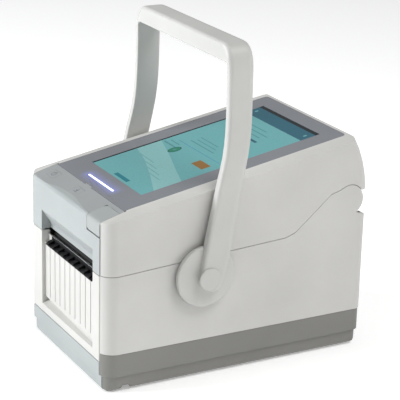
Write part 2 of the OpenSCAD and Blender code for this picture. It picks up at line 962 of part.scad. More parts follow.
base_tray();
base_frame();
base_front_panel();
rubber_feet();
battery_pack();
battery_contacts();
lower_casing();
lower_front_panel();
exit_lip();
tear_bar();
mech_chassis();
bin_floor();
media_plate();
gap_sensor();
main_board();
dc_jack();
usb_port();
lan_port();
rear_panel();
stepper_motor();
platen_bushes();
idler_axle();
latch_pins();
hinge_pins();
pivot_bosses();
pivot_pins();
casing_screws();
platen_shaft();
platen_roller();
platen_gear();
idler_gear();
motor_pinion();
guide_left();
guide_right();
guide_pinion();
label_roll();
roll_core();
cover_shell();
cover_front_panel();
control_strip();
bezel_frame();
display_panel();
light_bar();
display_board();
hinge_barrel();
head_holder();
head_springs();
latch_bar();
open_button();
power_key();
feed_key();
print_head();
handle_frame();
hub_caps();
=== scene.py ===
import json
import math

import bmesh
import bpy
from mathutils import Matrix, Vector

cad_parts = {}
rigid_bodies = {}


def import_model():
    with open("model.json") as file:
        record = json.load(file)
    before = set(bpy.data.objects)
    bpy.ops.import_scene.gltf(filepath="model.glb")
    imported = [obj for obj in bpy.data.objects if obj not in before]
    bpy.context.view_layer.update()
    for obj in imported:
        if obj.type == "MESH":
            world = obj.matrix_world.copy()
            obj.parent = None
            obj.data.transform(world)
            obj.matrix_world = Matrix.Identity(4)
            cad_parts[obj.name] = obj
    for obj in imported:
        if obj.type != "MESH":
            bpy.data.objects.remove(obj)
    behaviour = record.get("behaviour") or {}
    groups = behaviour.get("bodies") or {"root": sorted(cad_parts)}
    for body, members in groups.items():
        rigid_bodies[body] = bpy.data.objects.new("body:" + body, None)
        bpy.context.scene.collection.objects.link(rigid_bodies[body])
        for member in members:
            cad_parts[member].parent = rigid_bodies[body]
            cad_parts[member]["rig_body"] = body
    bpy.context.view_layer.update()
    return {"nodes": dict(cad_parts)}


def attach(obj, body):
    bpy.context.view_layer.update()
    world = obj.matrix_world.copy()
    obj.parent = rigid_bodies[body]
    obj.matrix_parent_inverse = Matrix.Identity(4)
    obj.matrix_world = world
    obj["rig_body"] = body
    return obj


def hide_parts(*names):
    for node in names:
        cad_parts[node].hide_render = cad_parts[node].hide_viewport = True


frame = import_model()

MM = 0.001
FRONT = -112.0                       # Y of the front panel, in millimetres
TOP_Z = 134.3                        # height of the display plane above the front panel
TILT = math.radians(10.4)            # slope of the display plane
STRIP_TILT = math.atan(4.8 / 17.2)   # slope of the control strip
PIVOT_S, PIVOT_Z = 80.0, 83.5        # handle pivot
ROLL_S, ROLL_Z = 132.0, 88.0         # axis of the label roll
BAR_HALF = 0.0215                    # half length of the light bar, in metres
# Painted glow: the blue emission painted on the bezel round the light bar fades out between these two distances.
HALO_START, HALO_END = 0.0008, 0.01  # where the glow round the light bar fades, in metres

# ---------------------------------------------------------------- camera and stage


def add_camera():
    """Camera at the viewing angle of the reference: right, front and slightly above."""
    azimuth, elevation, roll = math.radians(61.34), math.radians(19.16), math.radians(1.49)
    back = Vector((math.sin(azimuth) * math.cos(elevation), -math.cos(azimuth) * math.cos(elevation),
                   math.sin(elevation)))
    right = Vector((math.cos(azimuth), math.sin(azimuth), 0))
    up = back.cross(right)
    turned_right = right * math.cos(roll) + up * math.sin(roll)
    turned_up = up * math.cos(roll) - right * math.sin(roll)
    data = bpy.data.cameras.new("camera")
    data.lens, data.sensor_width = 145.98, 36
    data.clip_start, data.clip_end = 0.05, 20
    camera = bpy.data.objects.new("camera", data)
    target = right * -0.0049 + Vector((0, 0.008, 0.11309))
    camera.matrix_world = Matrix((turned_right, turned_up, back)).transposed().to_4x4()
    camera.location = target + back * 1.26318
    bpy.context.scene.collection.objects.link(camera)
    bpy.context.scene.camera = camera


def add_area(name, place, aim, size, power, color=(1, 1, 1)):
    """Square soft light at place, turned to aim."""
    data = bpy.data.lights.new(name, "AREA")
    data.shape, data.size, data.energy, data.color = "SQUARE", size, power, color
    light = bpy.data.objects.new(name, data)
    light.location = place
    light.rotation_euler = (Vector(aim) - Vector(place)).to_track_quat("-Z", "Y").to_euler()
    bpy.context.scene.collection.objects.link(light)


def add_studio():
    """Pale floor, bright surroundings and soft lights."""
    mesh = bpy.data.meshes.new("floor")
    mesh.from_pydata([(-9, -9, 0), (9, -9, 0), (9, 9, 0), (-9, 9, 0)], [], [(0, 1, 2, 3)])
    floor = bpy.data.objects.new("floor", mesh)
    bpy.context.scene.collection.objects.link(floor)
    paper = bpy.data.materials.new("floor_paper")
    paper.use_nodes = True
    shader = paper.node_tree.nodes["Principled BSDF"]
    shader.inputs["Base Color"].default_value = (0.97, 0.97, 0.97, 1)
    shader.inputs["Roughness"].default_value = 0.9
    shader.inputs["Emission Color"].default_value = (1, 1, 1, 1)
    shader.inputs["Emission Strength"].default_value = 0.28
    mesh.materials.append(paper)
    world = bpy.data.worlds.new("surroundings")
    world.use_nodes = True
    world.node_tree.nodes["Background"].inputs["Color"].default_value = (1, 1, 1, 1)
    world.node_tree.nodes["Background"].inputs["Strength"].default_value = 0.335
    bpy.context.scene.world = world
    add_area("key", (-0.7, -1.5, 0.7), (0, 0, 0.1), 0.9, 31, (0.97, 0.985, 1))
    add_area("top", (0.85, 0.45, 1.6), (0, 0, 0.1), 0.8, 15.5)
    add_area("side", (1.3, 1.6, 0.6), (0, 0, 0.1), 0.6, 3.4, (1, 0.99, 0.97))
    scene = bpy.context.scene
    scene.view_settings.view_transform = "Standard"
    scene.view_settings.look = "None"


# ---------------------------------------------------------------- materials


def begin(name, roughness, metallic=0.0):
    m = bpy.data.materials.new(name)
    m.use_nodes = True
    tree = m.node_tree
    shader = tree.nodes["Principled BSDF"]
    shader.inputs["Roughness"].default_value = roughness
    shader.inputs["Metallic"].default_value = metallic
    return m, tree, shader


def noise(tree, scale, detail=3.0, stretch=(1, 1, 1)):
    """Noise in the piece's own coordinates, with the given number of spots in a metre."""
    place = tree.nodes.new("ShaderNodeTexCoord")
    mapping = tree.nodes.new("ShaderNodeMapping")
    mapping.inputs["Scale"].default_value = stretch
    tree.links.new(place.outputs["Object"], mapping.inputs["Vector"])
    node = tree.nodes.new("ShaderNodeTexNoise")
    node.inputs["Scale"].default_value = scale
    node.inputs["Detail"].default_value = detail
    tree.links.new(mapping.outputs["Vector"], node.inputs["Vector"])
    return node.outputs["Fac"]


def remap(tree, value, low, high, from_low=0.3, from_high=0.7):
    node = tree.nodes.new("ShaderNodeMapRange")
    node.inputs["From Min"].default_value, node.inputs["From Max"].default_value = from_low, from_high
    node.inputs["To Min"].default_value, node.inputs["To Max"].default_value = low, high
    tree.links.new(value, node.inputs["Value"])
    return node.outputs["Result"]


def blend_color(tree, value, dark, light):
    node = tree.nodes.new("ShaderNodeMix")
    node.data_type = "RGBA"
    tree.links.new(value, node.inputs["Factor"])
    node.inputs["A"].default_value, node.inputs["B"].default_value = (*dark, 1), (*light, 1)
    return node.outputs["Result"]


def add_bump(tree, shader, height, strength, distance):
    node = tree.nodes.new("ShaderNodeBump")
    node.inputs["Strength"].default_value = strength
    node.inputs["Distance"].default_value = distance
    tree.links.new(height, node.inputs["Height"])
    tree.links.new(node.outputs["Normal"], shader.inputs["Normal"])


def plastic(name, color, roughness, grain=1300, depth=0.35, uneven=0.05, specular=0.5):
    """Moulded plastic: fine surface grain, slightly uneven tone and gloss."""
    m, tree, shader = begin(name, roughness)
    fine, broad = noise(tree, grain, 2), noise(tree, 16, 4)
    dark = tuple(c * (1 - uneven) for c in color)
    light = tuple(min(c * (1 + uneven), 1) for c in color)
    tree.links.new(blend_color(tree, remap(tree, broad, 0, 1), dark, light), shader.inputs["Base Color"])
    tree.links.new(remap(tree, fine, roughness - 0.05, roughness + 0.05), shader.inputs["Roughness"])
    add_bump(tree, shader, fine, depth, 0.00006)
    shader.inputs["Specular IOR Level"].default_value = specular
    return m


def metal(name, color, roughness, stretch=(1, 30, 30), scale=60):
    """Brushed metal: fine scratches drawn out along one direction."""
    m, tree, shader = begin(name, roughness, 1.0)
    lines = noise(tree, scale, 4, stretch)
    dark = tuple(c * 0.86 for c in color)
    tree.links.new(blend_color(tree, remap(tree, lines, 0, 1), dark, color), shader.inputs["Base Color"])
    tree.links.new(remap(tree, lines, roughness - 0.08, roughness + 0.1), shader.inputs["Roughness"])
    add_bump(tree, shader, lines, 0.15, 0.00004)
    return m


def lit(name, color, strength, roughness=0.25, spread=0.04):
    """Lit area of the display: its own light under glass, with a faint cell pattern."""
    m, tree, shader = begin(name, roughness)
    cells = noise(tree, 700, 1)
    dark = tuple(c * (1 - spread) for c in color)
    light = tuple(min(c * (1 + spread), 1) for c in color)
    tint = blend_color(tree, remap(tree, cells, 0, 1), dark, light)
    tree.links.new(tint, shader.inputs["Base Color"])
    tree.links.new(tint, shader.inputs["Emission Color"])
    shader.inputs["Emission Strength"].default_value = strength
    shader.inputs["Specular IOR Level"].default_value = 0.25
    return m


def painted_glow_bezel(name, color, glow):
    """Glossy border with a painted glow: blue emission painted round the light bar, fading with distance from it, in
    place of the bar's light on the border.
    """
    m, tree, shader = begin(name, 0.22)
    fine, broad = noise(tree, 900, 2), noise(tree, 9, 3)
    dark, light = tuple(c * 0.93 for c in color), tuple(c * 1.07 for c in color)
    tree.links.new(blend_color(tree, remap(tree, broad, 0, 1), dark, light), shader.inputs["Base Color"])
    tree.links.new(remap(tree, fine, 0.2, 0.27), shader.inputs["Roughness"])
    add_bump(tree, shader, fine, 0.12, 0.00003)
    shader.inputs["Specular IOR Level"].default_value = 0.35
    # Painted glow: blue emission painted on the border, strongest beside the light bar and gone by HALO_END.
    place = tree.nodes.new("ShaderNodeTexCoord")
    parts = tree.nodes.new("ShaderNodeSeparateXYZ")
    tree.links.new(place.outputs["Object"], parts.inputs["Vector"])

    def math_node(kind, a, b=None):
        node = tree.nodes.new("ShaderNodeMath")
        node.operation = kind
        for i, value in enumerate((a, b)):
            if isinstance(value, (int, float)):
                node.inputs[i].default_value = value
            elif value is not None:
                tree.links.new(value, node.inputs[i])
        return node.outputs[0]

    bar = top(-1, 30.5, 0) * MM
    aside = math_node("ABSOLUTE", math_node("SUBTRACT", parts.outputs["X"], bar.x))
    dx = math_node("MAXIMUM", math_node("SUBTRACT", aside, BAR_HALF), 0.0)
    dy = math_node("SUBTRACT", parts.outputs["Y"], bar.y)
    far = math_node("SQRT", math_node("ADD", math_node("MULTIPLY", dx, dx), math_node("MULTIPLY", dy, dy)))
    strength = remap(tree, far, 1.0, 0.0, HALO_START, HALO_END)
    soft = math_node("MULTIPLY", math_node("MULTIPLY", strength, strength), glow)
    shader.inputs["Emission Color"].default_value = (0.16, 0.20, 1.0, 1)
    tree.links.new(soft, shader.inputs["Emission Strength"])
    return m


def world_point(x, s, z):
    return Vector((x, FRONT + s, z))


def top(x, t, h):
    """Point on the display plane: t along the slope, h outward."""
    return Vector((x, FRONT + t * math.cos(TILT) - h * math.sin(TILT),
                   TOP_Z + t * math.sin(TILT) + h * math.cos(TILT)))


WHITE = plastic("white_abs", (0.55, 0.545, 0.525), 0.5)
HANDLE = plastic("white_handle", (0.52, 0.52, 0.5), 0.42)
# Bluish grey of the front panels, partly painted light: made lighter than the base grey to stand for the strong light
# on the front faces.
FRONT_GREY_PAINTED_LIT = plastic("front_grey_painted_lit", (0.34, 0.367, 0.367), 0.42)
BUTTON = plastic("pale_button", (0.33, 0.35, 0.35), 0.42)
MARK = plastic("symbol_print", (0.17, 0.18, 0.19), 0.5)
GREY = plastic("grey_base", (0.2, 0.198, 0.184), 0.5, depth=0.5)
STRIP = plastic("grey_strip", (0.3, 0.315, 0.32), 0.42)
# The bezel carries a painted glow round the light bar.
BEZEL = painted_glow_bezel("bezel_glass", (0.2, 0.21, 0.23), 0.3)
BLACK = plastic("black_satin", (0.008, 0.008, 0.009), 0.45, specular=0.12)
RUBBER = plastic("rubber", (0.03, 0.03, 0.03), 0.75, grain=900, depth=0.6, specular=0.3)
STEEL = metal("steel_brushed", (0.62, 0.62, 0.63), 0.3)
STEEL_BRIGHT = metal("steel_bright", (0.8, 0.8, 0.81), 0.2)
BRASS = metal("brass", (0.72, 0.53, 0.24), 0.28)
NYLON = plastic("nylon", (0.66, 0.64, 0.55), 0.45, grain=700)
PAPER = plastic("label_paper", (0.74, 0.73, 0.69), 0.8, grain=2200, depth=0.5, specular=0.2)
CARD = plastic("card", (0.36, 0.25, 0.15), 0.85, grain=600, depth=0.8, uneven=0.12, specular=0.15)
BOARD = plastic("board_green", (0.02, 0.12, 0.05), 0.4, grain=300, uneven=0.2)
CHIP = plastic("chip_black", (0.02, 0.02, 0.022), 0.55)
LIGHT = lit("light_strip", (0.92, 0.96, 1.0), 1.2)
GUIDE = lit("light_guide", (0.2, 0.22, 0.6), 0.35)

# The front panels take the bluish front grey with painted light.
MATERIAL_OF = {
    "base_tray": (GREY, 0.5), "base_frame": (GREY, 0.6), "base_front_panel": (FRONT_GREY_PAINTED_LIT, 0.3), "rubber_feet": (RUBBER, 0.5),
    "battery_pack": (BLACK, 0.6), "battery_contacts": (BRASS, 0.1), "lower_casing": (WHITE, 0.5),
    "lower_front_panel": (WHITE, 0.18), "exit_lip": (BLACK, 0.2), "tear_bar": (STEEL_BRIGHT, 0.05),
    "mech_chassis": (STEEL, 0.25), "bin_floor": (WHITE, 0.4), "media_plate": (NYLON, 0.3), "gap_sensor": (BLACK, 0.3),
    "main_board": (BOARD, 0.05), "dc_jack": (BLACK, 0.2), "usb_port": (STEEL, 0.2), "lan_port": (STEEL, 0.2),
    "rear_panel": (GREY, 0.3), "stepper_motor": (BLACK, 0.5), "platen_bushes": (BRASS, 0.2), "idler_axle": (STEEL, 0.3),
    "latch_pins": (STEEL_BRIGHT, 0.3), "hinge_pins": (STEEL, 0.3), "pivot_bosses": (WHITE, 0.4), "pivot_pins": (STEEL, 0.3),
    "casing_screws": (STEEL, 0.2), "platen_shaft": (STEEL_BRIGHT, 0.3), "platen_roller": (RUBBER, 0.4),
    "platen_gear": (NYLON, 0.12), "idler_gear": (NYLON, 0.12), "motor_pinion": (BRASS, 0.1), "guide_left": (NYLON, 0.4),
    "guide_right": (NYLON, 0.4), "guide_pinion": (BRASS, 0.1), "roll_core": (CARD, 0.15),
    "cover_shell": (WHITE, 0.7), "control_strip": (STRIP, 0.15), "bezel_frame": (BEZEL, 0.2),
    "cover_front_panel": (FRONT_GREY_PAINTED_LIT, 0.15), "display_board": (BOARD, 0.05), "hinge_barrel": (WHITE, 0.4),
    "head_holder": (WHITE, 0.4), "latch_bar": (STEEL, 0.25), "power_key": (STRIP, 0.25), "feed_key": (STRIP, 0.25),
    "print_head": (STEEL, 0.2)}

# ---------------------------------------------------------------- mesh helpers


def dress(piece, body, angle=35):
    """Smooth shading with crisp edges, and the piece's place in the frame."""
    piece.data.shade_smooth()
    piece.data.set_sharp_from_angle(angle=math.radians(angle))
    bpy.context.scene.collection.objects.link(piece)
    weighted = piece.modifiers.new("weighted", "WEIGHTED_NORMAL")
    weighted.keep_sharp = True
    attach(piece, body)
    return piece


def round_edges(bm, width, segments, angle):
    sharp = [e for e in bm.edges if e.is_manifold and not e.seam and e.calc_face_angle(0) > math.radians(angle)]
    if width > 0:
        bmesh.ops.bevel(bm, geom=sharp, offset=width * MM, offset_type="OFFSET", segments=segments,
                        profile=0.5, affect="EDGES", clamp_overlap=True, miter_outer="ARC")


def refine(node, mat, width=0.4, segments=3, angle=28, prepare=None, mats=None, paint=None):
    """New piece from a CAD node's outline, with rounded edges and smooth shading."""
    source = frame["nodes"][node]
    bm = bmesh.new()
    bm.from_mesh(source.data)
    bmesh.ops.remove_doubles(bm, verts=bm.verts, dist=1e-6)
    bmesh.ops.dissolve_limit(bm, angle_limit=math.radians(0.5), verts=bm.verts, edges=bm.edges)
    if prepare:
        prepare(bm)
    round_edges(bm, width, segments, angle)
    if paint:
        bm.normal_update()
        for face in bm.faces:
            face.material_index = paint(face)
    mesh = bpy.data.meshes.new(node + "_body")
    bm.to_mesh(mesh)
    bm.free()
    for m in mats or [mat]:
        mesh.materials.append(m)
    piece = dress(bpy.data.objects.new(node + "_body", mesh), source["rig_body"])
    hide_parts(node)
    return piece


class Solid:
    """Collects closed shapes given in millimetres and turns them into one piece."""

    def __init__(self):
        self.bm = bmesh.new()

    def rings(self, rings, mat=0, loop=False):
        """Skin over rings of points, capped at both ends or closed into a loop."""
        made = [[self.bm.verts.new(Vector(p) * MM) for p in ring] for ring in rings]
        count, faces = len(made[0]), []
        for a, b in zip(made, made[1:] + ([made[0]] if loop else [])):
            for i in range(count):
                faces.append(self.bm.faces.new((a[i], a[(i + 1) % count], b[(i + 1) % count], b[i])))
        if not loop:
            faces.append(self.bm.faces.new(list(reversed(made[0]))))
            faces.append(self.bm.faces.new(made[-1]))
        for face in faces:
            face.material_index = mat
        return made

    def prism(self, outline, place, low, high, mat=0):
        """Solid between two copies of an outline; place(u, v, w) gives a point."""
        return self.rings([[place(u, v, w) for u, v in outline] for w in (low, high)], mat)

    def lathe(self, profile, centre, axis="x", mat=0, segments=64):
        """Turned solid: profile holds (along, radius) points; axis is x, y or z."""
        rings = []
        for along, radius in profile:
            ring = []
            for i in range(segments):
                a = math.tau * i / segments
                u, v = radius * math.cos(a), radius * math.sin(a)
                offset = {"x": (along, u, v), "y": (v, along, u), "z": (u, v, along)}[axis]
                ring.append(Vector(centre) + Vector(offset))
            rings.append(ring)
        return self.rings(rings, mat)

    def tube(self, points, radius, mat=0, sides=10):
        """Round wire along points."""
        points = [Vector(p) for p in points]
        side = None
        rings = []
        for i, p in enumerate(points):
            ahead = (points[min(i + 1, len(points) - 1)] - points[max(i - 1, 0)]).normalized()
            if side is None:
                side = ahead.orthogonal().normalized()
            side = (side - ahead * side.dot(ahead)).normalized()
            other = ahead.cross(side)
            rings.append([p + (side * math.cos(math.tau * k / sides) + other * math.sin(math.tau * k / sides)) * radius
                          for k in range(sides)])
        return self.rings(rings, mat)

    def finish(self, name, body, nodes, mats, width=0.0, segments=2, angle=28, smooth=35, replace=True):
        bmesh.ops.recalc_face_normals(self.bm, faces=self.bm.faces)
        round_edges(self.bm, width, segments, angle)
        mesh = bpy.data.meshes.new(name)
        self.bm.to_mesh(mesh)
        self.bm.free()
        for m in mats:
            mesh.materials.append(m)
        piece = dress(bpy.data.objects.new(name, mesh), body, smooth)
        if replace:
            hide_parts(*nodes)
        return piece


def rounded(x0, x1, y0, y1, r, steps=6):
    """Rectangle outline with rounded corners; r is one radius or four, from the lower left on."""
    r = [r] * 4 if isinstance(r, (int, float)) else r
    corners = ((x0, y0, 1, 1, 180, r[0]), (x1, y0, -1, 1, 270, r[1]),
               (x1, y1, -1, -1, 0, r[2]), (x0, y1, 1, -1, 90, r[3]))
    points = []
    for x, y, sx, sy, start, radius in corners:
        for i in range(steps + 1):
            a = math.radians(start + 90 * i / steps)
            points.append((x + sx * radius + radius * math.cos(a), y + sy * radius + radius * math.sin(a)))
    return points


def circle(cx, cy, r, steps=32):
    return [(cx + r * math.cos(math.tau * i / steps), cy + r * math.sin(math.tau * i / steps)) for i in range(steps)]


def along(points, value):
    """Smooth curve through (key, result) points."""
    points = sorted(points)
    if value <= points[0][0]:
        return points[0][1]
    for i in range(len(points) - 1):
        (a, fa), (b, fb) = points[i], points[i + 1]
        if value <= b:
            before, after = points[max(i - 1, 0)], points[min(i + 2, len(points) - 1)]
            ma = (fb - before[1]) / (b - before[0])
            mb = (after[1] - fa) / (after[0] - a)
            t, h = (value - a) / (b - a), b - a
            return ((2 * t ** 3 - 3 * t ** 2 + 1) * fa + (t ** 3 - 2 * t ** 2 + t) * h * ma
                    + (3 * t ** 2 - 2 * t ** 3) * fb + (t ** 3 - t ** 2) * h * mb)
    return points[-1][1]


# ---------------------------------------------------------------- handle

ARM_FRONT = [(86, 74.4), (97, 75.6), (110, 78), (132, 82.6), (157, 88),
             (171, 91.4), (184, 93.2), (198, 94), (212, 94.2), (257, 94.2)]
ARM_REAR = [(80, 91.6), (94, 96), (110, 99), (128, 102), (148, 106),
            (162, 109), (178, 112), (194, 113.6), (212, 114), (257, 114)]
HANDLE_TOP, GRIP_Z = 256.0, 242.2


def handle_section(inner, outer, front, rear, soft=0.0):
    """Ring of points between an inner and an outer point of the front view, from front to rear."""
    inner, outer = Vector(inner), Vector(outer)
    thick, deep = (outer - inner).length, rear - front
    corners = ((0, 0, 1.0, 1.0), (1, 0, 2.3 + 3.6 * soft, 2.6 + 1.4 * soft), (1, 1, 2.2, 4.6), (0, 1, 1.6, 2.2))
    ring = []
    for (u, v, across, along_s), start in zip(corners, (180, 270, 0, 90)):
        across, along_s = min(across, thick * 0.48), min(along_s, deep * 0.48)
        for i in range(7):
            a = math.radians(start + 15 * i)
            cu = across if u == 0 else thick - across
            cv = along_s if v == 0 else deep - along_s
            pu, pv = cu + across * math.cos(a), cv + along_s * math.sin(a)
            flat = inner + (outer - inner) * (pu / thick)
            ring.append(world_point(flat[0], front + pv, flat[1]))
    return ring


def make_handle():
    half = []
    tip_s, tip_z, tip_r = PIVOT_S + 3, PIVOT_Z - 0.5, 10.0
    for z in (73.15, 73.6, 74.4, 75.6, 77.2, 79.2, 81.4, 83.5, 86, 89, 93, 98, 104, 110, 117, 125, 133, 141, 149, 157, 165,
              173, 181, 189, 197, 206, 217, 229):
        if z < 84:
            reach = math.sqrt(max(tip_r ** 2 - (z - tip_z) ** 2, 0))
            front, rear = tip_s - reach, tip_s + reach
        else:
            front, rear = along(ARM_FRONT, z), along(ARM_REAR, z)
        lean = max(0.0, (z - PIVOT_Z) / (229 - PIVOT_Z))
        half.append(((74.5 - 3 * lean, z), (82 - 5 * lean, z), front, rear))
    for i in range(1, 17):
        t = i / 16
        a = math.radians(90 * t)
        outer = (61 + 16 * math.cos(a) ** 0.78, 229 + 27 * math.sin(a) ** 0.78)
        way = t * (10.7 + 3.93 + 8)
        if way < 10.7:
            inner = (71.5, 229 + way)
        elif way < 14.63:
            b = (way - 10.7) / 2.5
            inner = (69 + 2.5 * math.cos(b), 239.7 + 2.5 * math.sin(b))
        else:
            inner = (69 - (way - 14.63), GRIP_Z)
        half.append((inner, outer, 94.2, 114, math.sin(math.pi * t)))
    for x in (48, 32, 16):
        half.append(((x, GRIP_Z), (x, HANDLE_TOP), 94.2, 114))
    mirrored = [((-row[0][0], row[0][1]), (-row[1][0], row[1][1]), *row[2:]) for row in half]
    stations = half + [((0, GRIP_Z), (0, HANDLE_TOP), 94.2, 114)] + mirrored[::-1]
    shape = Solid()
    shape.rings([handle_section(*station) for station in stations])
    for m in (-1, 1):
        profile = [(72.4, 22.8), (72.6, 23.4), (73.1, 23.8), (75.2, 23.8), (75.8, 23.55), (76.15, 22.9),
                   (76.2, 22.2), (76.2, 12)]
        shape.lathe([(m * x, r) for x, r in [(72.4, 12)] + profile], world_point(0, PIVOT_S, PIVOT_Z), segments=96)
    shape.finish("handle_frame_body", "handle", ["handle_frame"], [HANDLE], smooth=50)
    caps = Solid()
    for m in (-1, 1):
        profile = [(81.6, 8.6), (82.1, 8.8), (82.4, 8.7), (82.7, 8.2), (82.8, 7.4), (82.75, 4.0), (82.7, 0.05)]
        caps.lathe([(m * x, r) for x, r in [(81.6, 0.05)] + profile], world_point(0, PIVOT_S, PIVOT_Z), segments=64)
    caps.finish("hub_caps_body", "handle", ["hub_caps"], [HANDLE])


# ---------------------------------------------------------------- front panel, strip and button

# Line, as (X, s behind the front), where the pale front tone gives way to the grey strip. Panel and strip are separate
# parts, but the wave of this line follows a light-and-shade edge on the rounded top, so it is painted shade.
PAINTED_SHADE_EDGE = [(-61, 0.9), (-57, 0.9), (-45.5, 0.9), (-36.3, 1.3), (-30.2, 2.2), (-23.2, 4.0), (-12.4, 5.1), (-1.8, 5.6),
              (7, 5.6), (16.7, 4.4), (26.8, 2.9), (36.5, 1.9), (40, 1.6), (61, 1.3)]
FRONT_PROFILE = [(0, 130.3), (0.3, 131.6), (0.9, 132.4), (1.8, 132.85), (2.8, 133.1), (20, 137.9)]


def skin_z(s):
    for (a, za), (b, zb) in zip(FRONT_PROFILE, FRONT_PROFILE[1:]):
        if s <= b:
            return za + (zb - za) * (s - a) / (b - a)
    return FRONT_PROFILE[-1][1]


def slice_across(bm, low_z):
    """Cuts the part above low_z into narrow columns along X."""
    for i in range(-30, 31):
        geom = [f for f in bm.faces
                if f.calc_center_median().z > low_z * MM or max(v.co.z for v in f.verts) > (low_z + 1) * MM]
        geom = geom + list({e for f in geom for e in f.edges}) + list({v for f in geom for v in f.verts})
        bmesh.ops.bisect_plane(bm, geom=geom, plane_co=(i * 2 * MM, 0, 0), plane_no=(1, 0, 0), dist=1e-6)


def widen(bm):
    """Closes the gap at the sides of a front panel and rounds its upright front edges."""
    for v in bm.verts:
        if abs(v.co.x) > 60 * MM:
            v.co.x += math.copysign(0.26 * MM, v.co.x)
    ends = [e for e in bm.edges if e.is_manifold and e.calc_face_angle(0) > math.radians(60)
            and all(abs(v.co.x) > 61 * MM and v.co.y / MM - FRONT < 0.2 for v in e.verts)]
    bmesh.ops.bevel(bm, geom=ends, offset=0.7 * MM, offset_type="OFFSET", segments=4, profile=0.5, affect="EDGES",
                    clamp_overlap=True)


def taper_pocket(bm):
    """The pocket below the ribs runs out towards the right."""
    for v in bm.verts:
        x, s, z = v.co.x / MM, v.co.y / MM - FRONT, v.co.z / MM
        if x > 40 and 5.2 < s < 6.0 and 33 < z < 33.8:
            v.co.y, v.co.z = (FRONT + 2.9) * MM, 32.2 * MM
    widen(bm)


def keep_opening(bm):
    """The upright edges beside the front panels stay sharp."""
    for e in bm.edges:
        e.seam = all(61.0 < abs(v.co.x / MM) < 61.4 and v.co.y / MM - FRONT < 2 for v in e.verts)


def open_notches(bm):
    """Finger notches of the base tray are cut through to its lower edge."""
    cutter = Solid()
    for m in (-1, 1):
        cutter.prism([(13.8, -1), (26, -1), (20.6, 4.9), (16, 4.9)], lambda u, v, w: world_point(w, u, v),
                     *sorted((m * 60.6, m * 70)))
    bmesh.ops.recalc_face_normals(cutter.bm, faces=cutter.bm.faces)
    pair = []
    for shape in (bm, cutter.bm):
        mesh = bpy.data.meshes.new("notch_work")
        shape.to_mesh(mesh)
        pair.append(bpy.data.objects.new("notch_work", mesh))
        bpy.context.scene.collection.objects.link(pair[-1])
    cutter.bm.free()
    cut = pair[0].modifiers.new("cut", "BOOLEAN")
    cut.object, cut.operation, cut.solver = pair[1], "DIFFERENCE", "EXACT"
    result = bpy.data.meshes.new_from_object(pair[0].evaluated_get(bpy.context.evaluated_depsgraph_get()))
    bm.clear()
    bm.from_mesh(result)
    for work in pair:
        mesh = work.data
        bpy.data.objects.remove(work)
        bpy.data.meshes.remove(mesh)
    bpy.data.meshes.remove(result)


def curve_panel_top(bm):
    """Top edge of the front panel follows the wavy line between panel and strip, which traces a painted shade edge."""
    widen(bm)
    slice_across(bm, 129.5)
    for v in bm.verts:
        x, s, z = v.co.x / MM, v.co.y / MM - FRONT, v.co.z / MM
        if z > 131.2 and s < 2.5:
            k = along(PAINTED_SHADE_EDGE, x)
            s_new = s * k / 2.2
            v.co.y, v.co.z = (FRONT + s_new) * MM, skin_z(s_new) * MM


def curve_strip_front(bm):
    """Front edge of the control strip follows the same line, a hair behind the panel."""
    slice_across(bm, 129.5)
    for v in bm.verts:
        x, s, z = v.co.x / MM, v.co.y / MM - FRONT, v.co.z / MM
        if 132.5 < z < 133.4 and s < 3:
            k = along(PAINTED_SHADE_EDGE, x)
            s_new = k + (0.12 if s < 2.5 else 0.6)
            v.co.y, v.co.z = (FRONT + s_new) * MM, skin_z(s_new) * MM


def strip_point(x, s, h):
    """Point above the control strip: s behind the front panel, h outward."""
    return Vector((x, FRONT + s - h * math.sin(STRIP_TILT), skin_z(s) + h * math.cos(STRIP_TILT)))


def make_button():
    """Cover button that wraps from the front face over the edge onto the strip."""
    path = [(0, 121.65), (0, 124), (0, 127), (0, 129.4), (0.12, 130.6), (0.45, 131.6), (1.0, 132.35), (1.9, 132.9),
            (3.2, 133.4), (6, 134.2), (9, 135.02), (12, 135.85), (14, 136.4), (15.2, 136.73), (16.0, 136.95)]
    dense = []
    for (a, b) in zip(path, path[1:]):
        for i in range(3):
            dense.append(Vector(a).lerp(Vector(b), i / 3))
    dense.append(Vector(path[-1]))
    reach = [0.0]
    for a, b in zip(dense, dense[1:]):
        reach.append(reach[-1] + (b - a).length)
    total = reach[-1]
    x0, x1, columns = 39.65, 61.15, 16
    outer, inner = [], []
    for i, p in enumerate(dense):
        ahead = (dense[min(i + 1, len(dense) - 1)] - dense[max(i - 1, 0)]).normalized()
        inward = Vector((ahead.y, -ahead.x))
        start = x0
        for end, radius in ((reach[i], 2.4), (total - reach[i], 4.2)):
            if end < radius:
                start = max(start, x0 + radius - math.sqrt(radius ** 2 - (radius - end) ** 2))
        row = [start + (x1 - start) * c / columns for c in range(columns + 1)]
        outer.append([world_point(x, p.x, p.y) for x in row])
        q = p + inward * 2.0
        inner.append([world_point(x, q.x, q.y) for x in row])
    shape = Solid()
    bm = shape.bm
    make = lambda rows: [[bm.verts.new(Vector(p) * MM) for p in row] for row in rows]
    a, b = make(outer), make(inner)
    for grid in (a, b):
        for r in range(len(grid) - 1):
            for c in range(columns):
                bm.faces.new((grid[r][c], grid[r][c + 1], grid[r + 1][c + 1], grid[r + 1][c]))
    rim = [(0, c) for c in range(columns)] + [(r, columns) for r in range(len(dense) - 1)] \
        + [(len(dense) - 1, c) for c in range(columns, 0, -1)] + [(r, 0) for r in range(len(dense) - 1, 0, -1)]
    for (r, c), (r2, c2) in zip(rim, rim[1:] + rim[:1]):
        bm.faces.new((a[r][c], a[r2][c2], b[r2][c2], b[r][c]))
    shape.finish("open_button_body", "open_key", ["open_button"], [BUTTON], width=0.35, segments=3, angle=40)


